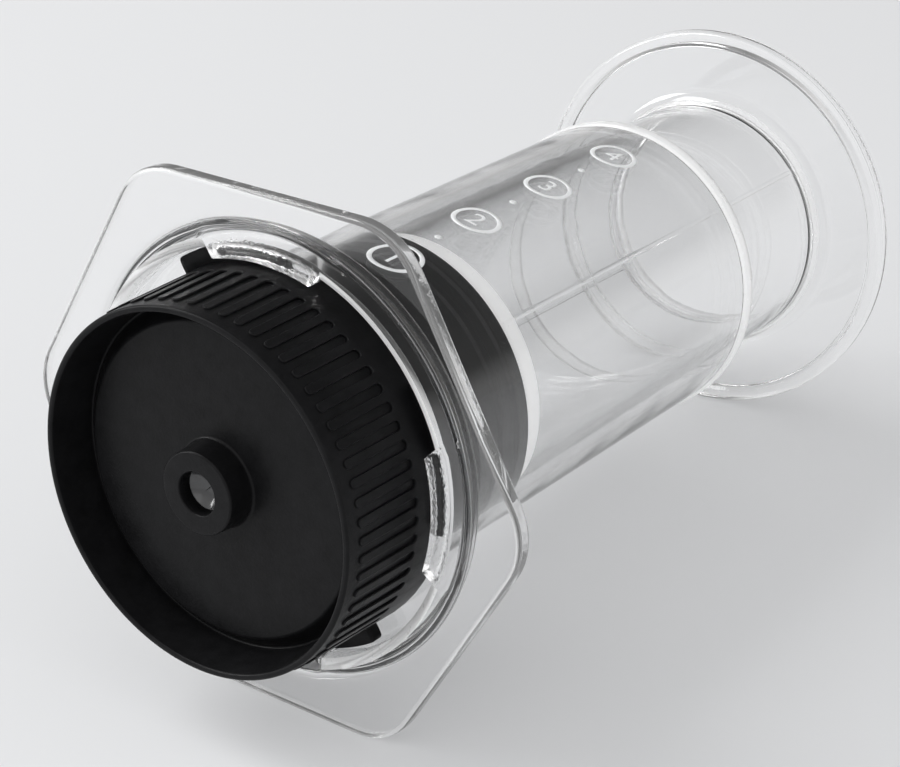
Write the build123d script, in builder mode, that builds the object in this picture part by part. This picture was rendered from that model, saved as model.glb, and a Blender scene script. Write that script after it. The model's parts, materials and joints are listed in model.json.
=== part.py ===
# Piston coffee press: a clear chamber with a hexagonal flange, a clear plunger with a rubber seal,
# and a black filter cap with a valve, pressed fully in and lying on its side.
#
# Lengths are in millimetres. A station is a distance along the press axis, counted from the front
# rim of the filter cap towards the plunger's flange. Angles turn about that axis.
#
# The press lies on one flat side of its hexagonal flange and on the rim of the plunger's flange,
# which is smaller, so its axis dips a little towards the plunger. +Y runs along the axis, +Z is up,
# and the origin is on the surface that it lies on, under the middle of its box.

from build123d import *
from math import acos, atan2, cos, degrees, hypot, radians, sin
import os

# Clearances
running_gap = 0.1  # between round faces that slide or turn on each other
face_gap = 0.1  # between flat faces of bodies that turn on each other
fit_gap = 0.05  # between pieces that are fitted together for good
plunger_gap = 1.7  # between the plunger's tube and the bore
overrun = 2.0  # how far a cutting shape runs past the face that it cuts

# Filter cap: outer wall
rim_radius = 35.0
wall_draft = 0.55  # growth of the wall's radius from the front rim to the rear face
skirt_wall = 1.25  # wall thickness at the front rim
rim_round = 0.4
cap_reach = 19.4  # how far the cap stands out of the chamber's flange

# Filter cap: finger grip
rib_count = 64
rib_start = 2.9  # from the front rim to the free ends of the ribs
rib_run = 15.4  # from those ends to the closed ends of the slots
rib_height = 0.45  # height at the free ends
rib_draft = 0.75  # growth of the ribs' outer radius to the rear face
rib_width = 1.75
slot_width = 1.7
grip_turn = 0.4  # degrees from the first ear tab's centre line to a slot

# Filter cap: recess and floor
gutter_depth = 10.4
skirt_taper = 0.6
floor_depth = 7.2
floor_shoulder = 3.1  # width of the sloping edge of the floor
floor_thickness = 1.7
shoulder_round = 1.0

# Filter cap: nozzle
nozzle_radius = 7.95
nozzle_growth = 0.35  # extra radius at the foot
nozzle_setback = 1.65  # how far its end lies behind the front rim
nozzle_bore_radius = 4.15
nozzle_end_round = 0.35
nozzle_foot_round = 0.6
bore_length = 2.75

# Filter cap: ears and inside
ear_count = 4
ear_spread = 42.0
ear_turn = -14.5  # degrees from a tab's centre line to the ear that it holds
ear_height = 3.1
ear_thickness = 2.5
ear_round = 0.8
fin_count = 8
fin_thickness = 1.3
fin_turn = 22.5  # degrees from the side of the press to the first fin
rear_wall = 3.5

# Filter plate
plate_wall = 2.75  # cap wall around the plate
grid_thickness = 2.0
grid_hole_radius = 1.0
grid_pitch = 3.9
grid_border = 5.0

# Paper filter
paper_radius = 32.0
paper_thickness = 0.25

# Valve and its retainer
valve_radius = 6.3
valve_thickness = 1.2
valve_dish_radius = 4.0
valve_dish_depth = 1.6
membrane_thickness = 0.6
slit_length = 3.6
slit_width = 0.12
slit_turn = 45.0  # degrees from the side of the press to one arm of the cross slit
retainer_bore_radius = 4.7

# Chamber: tube
bore_radius = 30.2
tube_wall = 2.1
tube_flare = 0.45  # extra outer radius at the open rim
chamber_length = 124.1  # from the front face of the flange to the open rim
bead_height = 0.55
bead_length = 3.2
bead_round = 0.9
bore_lead = 0.9  # bevel inside the open rim

# Chamber: hexagonal flange
flange_sides = 6
flange_flats = 101.2
flange_corner_radius = 14.1
flange_thickness = 3.3
flange_edge_round = 0.9
flange_root_round = 2.4

# Chamber: mouth that takes the cap
mouth_gap = 0.5  # between the cap's ears and the wall of the mouth
mouth_wall = 3.0
mouth_floor = 2.4
mouth_round = 0.5
mouth_shoulder_round = 2.2
tube_root_round = 2.6
seat_width = 2.4
seat_height = 0.9
seat_round = 0.3

# Chamber: tabs
tab_spread = 37.5
tab_height = 2.25
tab_depth = 4.0
tab_round = 0.3

# Plunger seal
seal_length = 32.9
seal_standoff = 0.3  # left between the seal and the paper when the plunger is pressed home
seal_relief = 0.55
seal_front_bevel = 3.2
lip_length = 3.6
ridge_length = 1.5
ridge_place_share = 0.73  # of the seal's length, from its front to its middle ridge
seal_round = 0.4

# Plunger
plunger_wall = 2.2
plunger_length = 124.9  # from its front wall to the rear face of its flange
plunger_front_wall = 4.2
plunger_floor_round = 2.0
disc_radius = 45.2
disc_thickness = 2.8
disc_root_round = 3.8
disc_mouth_round = 1.6
lip_width = 2.6
lip_height = 0.8
lip_round = 1.1
lip_root_round = 0.4
neck_radius = 17.0
neck_length = 6.0
knob_radius = 21.0
knob_length = 16.0
knob_round = 1.5

# Limits
round_limit_share = 0.45  # of a step or ledge, for the rounding at each of its two ends

# Radii that follow from the sizes
cap_radius = rim_radius + wall_draft
grip_front_radius = rim_radius + rib_height
grip_rear_radius = grip_front_radius + rib_draft
ear_radius = grip_rear_radius + ear_height
mouth_radius = ear_radius + mouth_gap
house_radius = mouth_radius + mouth_wall
tab_radius = mouth_radius - tab_height
tube_radius = bore_radius + tube_wall
grid_radius = cap_radius - plate_wall - fit_gap
plate_radius = cap_radius - plate_wall
cavity_radius = cap_radius - rear_wall
seat_radius = bore_radius + seat_width
seal_radius = bore_radius - running_gap
plunger_radius = bore_radius - plunger_gap
flange_ledge_radius = house_radius + flange_root_round + fit_gap

# Stations that follow from the sizes
flange_front = cap_reach
flange_rear = flange_front + flange_thickness
tab_rear = flange_front + tab_depth
ear_front = tab_rear + face_gap
cap_rear = ear_front + ear_thickness
grid_front = cap_rear - grid_thickness
paper_rear = cap_rear + paper_thickness
seat = paper_rear + face_gap
mouth_bottom = seat + seat_height
house_rear = mouth_bottom + mouth_floor
open_rim = flange_front + chamber_length
floor_rear = floor_depth + floor_thickness
bore_end = nozzle_setback + bore_length
valve_rear = bore_end + valve_thickness
slot_end = rib_start + rib_run
seal_front = paper_rear + seal_standoff
seal_rear = seal_front + seal_length
plunger_front = seal_rear + face_gap
disc_rear = plunger_front + plunger_length
disc_front = disc_rear - disc_thickness
knob_rear = plunger_front - neck_length
knob_front = knob_rear - knob_length

# Dip of the axis, from the edges on which the press lies
edge_height = flange_flats / 2 - flange_edge_round
edge_station = flange_rear - flange_edge_round
lip_edge_height = disc_radius - lip_round
lip_edge_station = disc_rear + lip_height - lip_round
edge_drop = edge_height - lip_edge_height
edge_run = lip_edge_station - edge_station
dip = acos((lip_round - flange_edge_round) / hypot(edge_drop, edge_run)) - atan2(edge_run, edge_drop)

# Place of the front rim's centre, over the middle of the box and clear of the surface
rim_height = edge_height * cos(dip) + edge_station * sin(dip) + flange_edge_round
front_reach = (rim_radius - rim_round) * sin(dip) + rim_round - rim_round * cos(dip)
rear_reach = lip_edge_station * cos(dip) + lip_edge_height * sin(dip) + lip_round
rim_place = (front_reach - rear_reach) / 2

# Planes: across the axis at the front rim, and through the axis for turned outlines
press = Plane(
    origin=(0, rim_place, rim_height), x_dir=(-1, 0, 0), z_dir=(0, cos(dip), -sin(dip))
)
press_axis = Axis(press.origin, press.z_dir)


def through_axis(angle):
    """Return the plane that holds the axis at an angle, with x outwards and y along the axis."""
    outwards = press.from_local_coords((cos(radians(angle)), sin(radians(angle)), 0)) - press.origin
    return Plane(origin=press.origin, x_dir=outwards, z_dir=outwards.cross(press.z_dir))


section = through_axis(0)


def turn(*corners, mode=Mode.ADD):
    """Revolve a closed outline of (radius, station, rounding) corners about the press axis."""
    with BuildSketch(section) as profile:
        with BuildLine():
            Polyline(*[(radius, station) for radius, station, _ in corners], close=True)
        make_face()
        for radius, station, rounding in corners:
            if rounding > 0:
                fillet(vertices().sort_by_distance((radius, station))[0], rounding)
    revolve(profile.sketch, axis=press_axis, mode=mode)


def sector(inner, outer, middle, spread, rounding):
    """Draw part of a ring about a middle angle, with its two outer corners rounded."""
    start = middle - spread / 2
    with BuildLine() as outline:
        outer_arc = CenterArc((0, 0), outer, start, spread)
        inner_arc = CenterArc((0, 0), inner, start, spread)
        Line(outer_arc @ 0, inner_arc @ 0)
        Line(outer_arc @ 1, inner_arc @ 1)
    make_face(outline.edges())
    if rounding > 0:
        corners = [vertices().sort_by_distance(outer_arc @ end)[0] for end in (0, 1)]
        fillet(corners, rounding)


def around(count, first=0.0):
    """Return evenly spaced angles of a full turn, in degrees."""
    return [first + 360 * step / count for step in range(count)]


def facing_out(angle, radius):
    """Return the plane that faces out from the axis at an angle, with its x along the axis."""
    flat = (radius * cos(radians(angle)), radius * sin(radians(angle)), 0)
    place = press.from_local_coords(flat)
    return Plane(origin=place, x_dir=press.z_dir, z_dir=place - press.origin)


def ring_edges(radius, station):
    """Return the circular edges of a radius about the axis at a station."""
    centre = press.from_local_coords((0, 0, station))
    tolerance = fit_gap / 10
    return [
        edge
        for edge in edges().filter_by(GeomType.CIRCLE)
        if abs(edge.radius - radius) < tolerance
        and (edge.arc_center - centre).length < tolerance
    ]


def on_axis(station):
    """Return the plane across the axis at a station."""
    return press.offset(station)


# Filter cap: the grip is made first, as ribs that run forward from a band, with round ends on the
# ribs and on the slots between them. It is then trimmed to its cone and joined to the cup.
grip_root = rim_radius - skirt_wall / 2
rib_length = rib_run + rib_width * 2
rib_middle = rib_start + rib_length / 2
slot_length = rib_run
slot_middle = slot_end - slot_length / 2
band_front = slot_end - slot_width
grip_slope = rib_draft / (cap_rear - rib_start)
grip_at_rim = grip_front_radius - grip_slope * rib_start
slot_angles = around(rib_count, grip_turn)
rib_angles = around(rib_count, grip_turn + 180 / rib_count)
skirt_inner = rim_radius - skirt_wall
gutter_radius = skirt_inner - skirt_taper
shoulder_start = gutter_radius - floor_shoulder
inner_shoulder = floor_thickness / 2
floor_middle = floor_depth + floor_thickness / 2
gutter_middle = gutter_depth + floor_thickness / 2
fin_inner = nozzle_radius + fin_thickness
fin_outer = cavity_radius + fin_thickness
ear_angles = around(ear_count, ear_turn)

with BuildPart() as filter_cap:
    with BuildSketch(*[facing_out(angle, grip_root) for angle in rib_angles]):
        with Locations((rib_middle, 0)):
            SlotOverall(rib_length, rib_width)
    extrude(amount=ear_height)
    turn(
        (grip_root, band_front, 0),
        (ear_radius, band_front, 0),
        (ear_radius, cap_rear, 0),
        (grip_root, cap_rear, 0),
    )
    with BuildSketch(*[facing_out(angle, grip_root) for angle in slot_angles]):
        with Locations((slot_middle, 0)):
            SlotOverall(slot_length, slot_width)
    extrude(amount=ear_height + overrun, mode=Mode.SUBTRACT)
    turn(
        (grip_root, 0, 0),
        (grip_at_rim, 0, 0),
        (grip_rear_radius, cap_rear, 0),
        (grip_root, cap_rear, 0),
        mode=Mode.INTERSECT,
    )
    turn(
        (nozzle_bore_radius, nozzle_setback, 0),
        (nozzle_radius, nozzle_setback, nozzle_end_round),
        (nozzle_radius + nozzle_growth, floor_depth, nozzle_foot_round),
        (shoulder_start, floor_depth, shoulder_round),
        (gutter_radius, gutter_depth, shoulder_round / 2),
        (skirt_inner, 0, rim_round),
        (rim_radius, 0, rim_round),
        (cap_radius, cap_rear, 0),
        (plate_radius, cap_rear, 0),
        (plate_radius, grid_front, 0),
        (cavity_radius, grid_front, 0),
        (cavity_radius, gutter_depth + floor_thickness, shoulder_round),
        (shoulder_start - inner_shoulder, floor_rear, shoulder_round),
        (valve_radius + fit_gap, floor_rear, 0),
        (valve_radius + fit_gap, bore_end, 0),
        (nozzle_bore_radius, bore_end, 0),
    )
    with BuildSketch(on_axis(ear_front)):
        for angle in ear_angles:
            sector(cap_radius - fin_thickness, ear_radius, angle, ear_spread, ear_round)
    extrude(amount=ear_thickness)
    with BuildSketch(*[through_axis(angle) for angle in around(fin_count, fin_turn)]):
        with BuildLine():
            Polyline(
                (fin_inner, grid_front),
                (fin_inner, floor_middle),
                (shoulder_start - inner_shoulder, floor_middle),
                (gutter_radius, gutter_middle),
                (fin_outer, gutter_middle),
                (fin_outer, grid_front),
                close=True,
            )
        make_face()
    extrude(amount=fin_thickness / 2, both=True)

filter_cap.part.label = "filter_cap"

# Filter plate: a perforated disc that closes the rear of the cap
grid_row = grid_pitch * sin(radians(60))
grid_field = grid_radius - grid_border
row_count = int(grid_field / grid_row)
column_count = int(grid_field / grid_pitch) + 1
grid_holes = [
    ((column + (row % 2) / 2) * grid_pitch, row * grid_row)
    for row in range(-row_count, row_count + 1)
    for column in range(-column_count, column_count + 1)
    if hypot((column + (row % 2) / 2) * grid_pitch, row * grid_row) < grid_field
]

with BuildPart() as filter_plate:
    with BuildSketch(on_axis(grid_front)):
        Circle(grid_radius)
        with Locations(*grid_holes):
            Circle(grid_hole_radius, mode=Mode.SUBTRACT)
    extrude(amount=grid_thickness)

filter_plate.part.label = "filter_plate"

# Paper filter: a disc between the filter plate and the chamber's seat
with BuildPart() as paper_filter:
    with BuildSketch(on_axis(cap_rear)):
        Circle(paper_radius)
    extrude(amount=paper_thickness)

paper_filter.part.label = "paper_filter"

# Outlet valve: a silicone disc with a dished membrane that a cross slit opens
dish_ball = (valve_dish_radius**2 + valve_dish_depth**2) / (2 * valve_dish_depth)
dish_centre = bore_end + valve_dish_depth - dish_ball
dish_arc = degrees(acos((bore_end - dish_centre) / dish_ball))
dome_ball = dish_ball + membrane_thickness
dome_arc = degrees(acos((valve_rear - dish_centre) / dome_ball))

with BuildPart() as outlet_valve:
    with BuildSketch(section):
        with BuildLine():
            dish = CenterArc((0, dish_centre), dish_ball, 90, -dish_arc)
            dome = CenterArc((0, dish_centre), dome_ball, 90, -dome_arc)
            Polyline(dish @ 1, (valve_radius, bore_end), (valve_radius, valve_rear), dome @ 1)
            Line(dish @ 0, dome @ 0)
        make_face()
    revolve(axis=press_axis)
    with BuildSketch(on_axis(bore_end)):
        Rectangle(slit_length, slit_width, rotation=slit_turn)
        Rectangle(slit_width, slit_length, rotation=slit_turn)
    extrude(amount=valve_dish_depth + membrane_thickness + overrun, mode=Mode.SUBTRACT)

outlet_valve.part.label = "outlet_valve"

# Valve retainer: a ring pressed into the nozzle's foot behind the valve
with BuildPart() as valve_retainer:
    with BuildSketch(on_axis(valve_rear)):
        Circle(valve_radius)
        Circle(retainer_bore_radius, mode=Mode.SUBTRACT)
    extrude(amount=floor_rear - valve_rear)

valve_retainer.part.label = "valve_retainer"

# Chamber: a tube with a hexagonal flange, and a mouth with tabs that hold the cap's ears
bead_front = open_rim - bead_length
flared_radius = tube_radius + tube_flare
bead_radius = flared_radius + bead_height
house_limit = (house_radius - tube_radius) * round_limit_share
mouth_limit = (mouth_radius - seat_radius) * round_limit_share

with BuildPart() as chamber:
    with BuildSketch(on_axis(flange_front)):
        RegularPolygon(flange_flats / 2, flange_sides, major_radius=False)
        fillet(vertices(), flange_corner_radius)
    extrude(amount=flange_thickness)
    fillet(edges().group_by(Axis(press.origin, press.z_dir))[0], flange_edge_round)
    fillet(edges().group_by(Axis(press.origin, press.z_dir))[-1], flange_edge_round)
    turn(
        (0, flange_front, 0),
        (flange_ledge_radius, flange_front, 0),
        (flange_ledge_radius, flange_rear, 0),
        (house_radius, flange_rear, flange_root_round),
        (house_radius, house_rear, min(mouth_shoulder_round, house_limit)),
        (tube_radius, house_rear, min(tube_root_round, house_limit)),
        (flared_radius, bead_front - bead_height, bead_round),
        (bead_radius, bead_front, bead_height),
        (bead_radius, open_rim, bead_round),
        (0, open_rim, 0),
    )
    turn(
        (0, flange_front - overrun, 0),
        (mouth_radius, flange_front - overrun, 0),
        (mouth_radius, mouth_bottom, min(mouth_round, mouth_limit)),
        (seat_radius, mouth_bottom, min(seat_round, mouth_limit)),
        (seat_radius, seat, seat_round),
        (bore_radius, seat, 0),
        (bore_radius, open_rim - bore_lead, bore_lead),
        (bore_radius + bore_lead + overrun, open_rim + overrun, 0),
        (0, open_rim + overrun, 0),
        mode=Mode.SUBTRACT,
    )
    fillet(ring_edges(mouth_radius, flange_front), mouth_round)
    with BuildSketch(on_axis(flange_front + fit_gap)):
        for angle in around(ear_count):
            sector(tab_radius, mouth_radius + mouth_wall / 2, angle, tab_spread, 0)
    extrude(amount=tab_depth - fit_gap)

chamber.part.label = "chamber"

# Plunger seal: a rubber cap with three ridges that wipe the bore, hollow for the plunger's knob
seal_body_radius = seal_radius - seal_relief
ridge_front = seal_front + seal_length * ridge_place_share
lip_front = seal_front + seal_front_bevel
lip_end = lip_front + lip_length
tail_front = seal_rear - lip_length
knob_limit = (knob_radius - neck_radius) * round_limit_share

with BuildPart() as plunger_seal:
    turn(
        (0, seal_front, 0),
        (seal_body_radius - seal_front_bevel, seal_front, seal_front_bevel / 2),
        (seal_radius, lip_front, seal_round),
        (seal_radius, lip_end, seal_round),
        (seal_body_radius, lip_end + seal_relief, seal_round),
        (seal_body_radius, ridge_front - seal_relief, seal_round),
        (seal_radius, ridge_front, seal_round),
        (seal_radius, ridge_front + ridge_length, seal_round),
        (seal_body_radius, ridge_front + ridge_length + seal_relief, seal_round),
        (seal_body_radius, tail_front - seal_relief, seal_round),
        (seal_radius, tail_front, seal_round),
        (seal_radius, seal_rear, seal_round * 2),
        (neck_radius + running_gap, seal_rear, seal_round),
        (neck_radius + running_gap, knob_rear + running_gap, min(seal_round, knob_limit)),
        (knob_radius + running_gap, knob_rear + running_gap, min(knob_round, knob_limit)),
        (knob_radius + running_gap, knob_front - running_gap, knob_round),
        (0, knob_front - running_gap, 0),
    )

plunger_seal.part.label = "plunger_seal"

# Plunger: a tube with a front wall and a hollow knob for the seal, and a round flange to press on
lip_front_face = disc_front - lip_height
lip_rear_face = disc_rear + lip_height
lip_foot = disc_radius - lip_width
lip_slope = lip_foot - lip_height
plunger_bore = plunger_radius - plunger_wall
plunger_floor = plunger_front + plunger_front_wall
core_radius = neck_radius - plunger_wall
core_front = knob_front + plunger_wall

with BuildPart() as plunger:
    turn(
        (0, knob_front, 0),
        (knob_radius, knob_front, knob_round),
        (knob_radius, knob_rear, min(knob_round, knob_limit)),
        (neck_radius, knob_rear, min(seal_round, knob_limit)),
        (neck_radius, plunger_front, seal_round),
        (plunger_radius, plunger_front, lip_round),
        (plunger_radius, disc_front, disc_root_round),
        (lip_slope, disc_front, lip_root_round),
        (lip_foot, lip_front_face, lip_root_round),
        (disc_radius, lip_front_face, lip_round),
        (disc_radius, lip_rear_face, lip_round),
        (lip_foot, lip_rear_face, lip_root_round),
        (lip_slope, disc_rear, lip_root_round),
        (0, disc_rear, 0),
    )
    turn(
        (0, core_front, 0),
        (core_radius, core_front, knob_round),
        (core_radius, plunger_floor, seal_round),
        (plunger_bore, plunger_floor, plunger_floor_round),
        (plunger_bore, disc_rear + overrun, 0),
        (0, disc_rear + overrun, 0),
        mode=Mode.SUBTRACT,
    )
    fillet(ring_edges(plunger_bore, disc_rear), disc_mouth_round)

plunger.part.label = "plunger"

# Files, one for each piece
os.makedirs("parts", exist_ok=True)
pieces = [
    filter_cap,
    filter_plate,
    paper_filter,
    outlet_valve,
    valve_retainer,
    chamber,
    plunger_seal,
    plunger,
]
for piece in pieces:
    export_step(piece.part, f"parts/{piece.part.label}.step")

box = Compound(children=[piece.part for piece in pieces]).bounding_box()
print("dip in degrees", round(degrees(dip), 3))
print("box", [round(value, 2) for value in (*box.min, *box.max)])
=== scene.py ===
"""Piston coffee press: the clear chamber and plunger, the black cap, the seal and the scale."""
import json
from math import atan2, cos, hypot, pi, radians, sin, tan
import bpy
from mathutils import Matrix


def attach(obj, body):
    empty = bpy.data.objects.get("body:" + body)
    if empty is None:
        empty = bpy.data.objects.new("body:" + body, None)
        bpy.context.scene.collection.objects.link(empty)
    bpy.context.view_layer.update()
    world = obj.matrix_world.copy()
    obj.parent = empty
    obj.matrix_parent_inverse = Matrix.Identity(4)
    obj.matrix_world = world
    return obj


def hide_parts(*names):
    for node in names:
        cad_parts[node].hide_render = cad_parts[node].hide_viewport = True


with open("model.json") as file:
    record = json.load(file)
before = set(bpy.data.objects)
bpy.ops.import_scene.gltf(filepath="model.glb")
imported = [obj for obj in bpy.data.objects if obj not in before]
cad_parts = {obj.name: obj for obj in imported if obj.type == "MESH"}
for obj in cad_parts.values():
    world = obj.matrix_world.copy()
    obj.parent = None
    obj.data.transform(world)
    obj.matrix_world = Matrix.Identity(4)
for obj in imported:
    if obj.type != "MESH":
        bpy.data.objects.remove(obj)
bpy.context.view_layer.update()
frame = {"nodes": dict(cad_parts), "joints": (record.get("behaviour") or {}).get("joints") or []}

from types import SimpleNamespace

import bmesh
import bpy
from mathutils import Matrix, Vector

bl_info = {
    "name": "Piston coffee press",
    "version": (1, 0, 0),
    "blender": (4, 5, 0),
    "location": "3D View > Sidebar > Coffee press",
    "description": "Makes the visible pieces of a piston coffee press around its packed frame",
    "category": "Object",
}

MM = 0.001
NEAR = MM / 100  # how far off a vertex may be and still count as in its place
WELD = MM / 2000  # vertices that are closer become one
HAIR = MM / 10000  # tolerance of a cut
STEPS = 192  # steps of a full turn
SHARP = radians(40)  # edges that turn by more than this are bevelled
QUARTERS = (0, pi / 2, pi, 3 * pi / 2)  # the middles of the tabs, around the press axis
FINS = 8  # inner ribs behind the cap's floor
BOUNCES = 28  # enough for light to pass all the clear walls on its way in and out
CLEAR_IOR = 1.54
AIM = Vector((0, 0, 30 * MM))  # what the softboxes face
LIGHTS = {  # place, width and power of the softboxes
    "key_light": ((-1.2, -0.35, 1.5), 0.85, 13.5),
    "rim_light": ((-1.2, -0.85, 0.5), 0.5, 7),
    "fill_light": ((0.6, -1.5, 1.2), 1.5, 2.5),
}


def joint(name):
    """Return a joint of the frame by its name."""
    return next(entry for entry in frame["joints"] if entry["name"] == name)


def press_matrix():
    """Return the matrix to the frame from the press's own axes: z runs along it from the rim."""
    along = Vector(joint("cap_twist")["axis"]).normalized()
    left = Vector((-1, 0, 0))
    matrix = Matrix((left, along.cross(left), along)).transposed().to_4x4()
    matrix.translation = Vector(joint("cap_twist")["pos_m"])
    return matrix


PRESS = press_matrix()


# Sizes and colours


def size(name, description, millimetres):
    """Return a length property whose default is given in millimetres."""
    return bpy.props.FloatProperty(
        name=name, description=description, default=millimetres * MM, unit="LENGTH", precision=5
    )


def turn(name, description, degrees):
    """Return an angle property whose default is given in degrees."""
    return bpy.props.FloatProperty(
        name=name, description=description, default=radians(degrees), unit="ROTATION"
    )


def share(name, description, default):
    """Return a property that holds a share of something."""
    return bpy.props.FloatProperty(
        name=name, description=description, default=default, min=0, max=1, subtype="FACTOR"
    )


def colour(name, description, default):
    """Return a colour property."""
    return bpy.props.FloatVectorProperty(
        name=name, description=description, default=default, size=3, min=0, max=1, subtype="COLOR"
    )


class CapSizes(bpy.types.PropertyGroup):
    """Sizes of the filter cap."""

    rim_radius: size("Rim radius", "Outer radius of the front rim", 35)
    wall_draft: size("Wall draft", "Growth of the wall's radius to the rear", 0.55)
    skirt_wall: size("Skirt wall", "Wall at the front rim", 1.25)
    skirt_taper: size("Skirt taper", "Growth of that wall down to the gutter", 0.6)
    rim_round: size("Rim rounding", "Rounding of the rim's two edges", 0.45)
    reach: size("Reach", "How far the cap stands out of the flange", 19.4)
    gutter_depth: size("Gutter depth", "Depth of the gutter around the floor", 10.4)
    floor_depth: size("Floor depth", "Depth of the floor below the rim", 7.2)
    floor_shoulder: size("Floor shoulder", "Width of the sloping edge of the floor", 3.1)
    floor_thickness: size("Floor thickness", "Thickness of the floor", 1.7)
    shoulder_round: size("Shoulder rounding", "Rounding of the floor's edge", 1.0)
    nozzle_radius: size("Nozzle radius", "Radius of the nozzle at its end", 7.95)
    nozzle_growth: size("Nozzle growth", "Extra radius at the nozzle's foot", 0.35)
    nozzle_setback: size("Nozzle setback", "From the rim to the nozzle's end", 1.65)
    nozzle_bore: size("Nozzle bore", "Radius of the nozzle's bore", 4.15)
    bore_length: size("Bore length", "Length of that bore, to the valve", 2.75)
    pocket_radius: size("Valve pocket", "Radius of the pocket for the valve", 6.35)
    rear_wall: size("Rear wall", "Wall at the rear", 3.5)
    plate_wall: size("Plate wall", "Wall around the filter plate", 2.75)
    plate_thickness: size("Plate seat", "Depth of the seat for the filter plate", 2)
    paper: size("Paper", "Thickness of the paper filter", 0.25)
    rib_count: bpy.props.IntProperty(name="Ribs", description="Number of grip ribs", default=64)
    rib_start: size("Rib start", "From the rim to the ribs' free ends", 2.9)
    rib_run: size("Rib run", "From those ends to the slots' closed ends", 15.4)
    rib_width: size("Rib width", "Width of a rib", 1.75)
    rib_height: size("Rib height", "Height of a rib at its free end", 0.45)
    rib_root: size("Rib root", "How deep the ribs' feet are sunk into the wall", 1)
    rib_draft: size("Rib draft", "Growth of the ribs' radius to the rear", 0.75)
    rib_bevel: size("Rib edge", "Rounding of the ribs' edges", 0.2)
    grip_turn: turn("Grip turn", "From the first tab's middle to a slot", 0.4)
    ear_height: size("Ear height", "Height of the ears over the grip", 3.1)
    ear_thickness: size("Ear thickness", "Thickness of the ears", 2.5)
    ear_round: size("Ear rounding", "Rounding of the ears' corners", 0.8)
    ear_spread: turn("Ear spread", "Angle that an ear takes up", 42)
    ear_turn: turn("Ear turn", "From a tab's middle to its ear's middle", -14.5)
    fin_thickness: size("Fin thickness", "Thickness of the inner ribs", 1.3)


class ChamberSizes(bpy.types.PropertyGroup):
    """Sizes of the clear chamber."""

    bore_radius: size("Bore radius", "Radius of the bore", 30.2)
    tube_wall: size("Tube wall", "Wall of the tube", 2.1)
    tube_flare: size("Tube flare", "Extra outer radius at the open rim", 0.45)
    length: size("Length", "From the flange's front to the open rim", 124.1)
    bead_height: size("Bead height", "Height of the bead at the open rim", 0.55)
    bead_length: size("Bead length", "Length of that bead", 3.2)
    bead_round: size("Bead rounding", "Rounding of the open rim", 0.9)
    flange_flats: size("Flange flats", "Width of the flange across its flats", 101.2)
    flange_corner: size("Flange corners", "Radius of the flange's corners", 14.1)
    flange_thickness: size("Flange thickness", "Thickness of the flange", 3.3)
    flange_edge: size("Flange edge", "Rounding of the flange's edge", 0.9)
    flange_root: size("Flange root", "Rounding between the flange and the mouth", 2.4)
    mouth_gap: size("Mouth gap", "From the cap's ears to the mouth's wall", 0.5)
    mouth_wall: size("Mouth wall", "Wall of the mouth", 3)
    mouth_floor: size("Mouth floor", "Thickness of the mouth's floor", 2.4)
    mouth_round: size("Mouth rounding", "Rounding of the mouth's inner edge", 0.5)
    lead_width: size("Lead-in width", "Width of the bevel around the mouth's front", 1.9)
    lead_depth: size("Lead-in depth", "Depth of that bevel", 1)
    mouth_shoulder: size("Mouth shoulder", "Rounding of the mouth's outer shoulder", 2.2)
    tube_root: size("Tube root", "Rounding between the mouth and the tube", 2.6)
    seat_width: size("Seat width", "Width of the filter's seat", 2.4)
    seat_height: size("Seat height", "Height of that seat", 0.9)
    seat_round: size("Seat rounding", "Rounding of the seat", 0.3)
    tab_spread: turn("Tab spread", "Angle that a tab takes up", 37.5)
    tab_height: size("Tab height", "How far a tab stands into the mouth", 2.25)
    tab_depth: size("Tab depth", "Depth of a tab", 4)
    tab_slant: turn("Tab slant", "How far the tabs' ends slant inwards", 1.9)
    tab_bevel: size("Tab bevel", "Bevel of the tabs' edges", 0.3)


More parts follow.
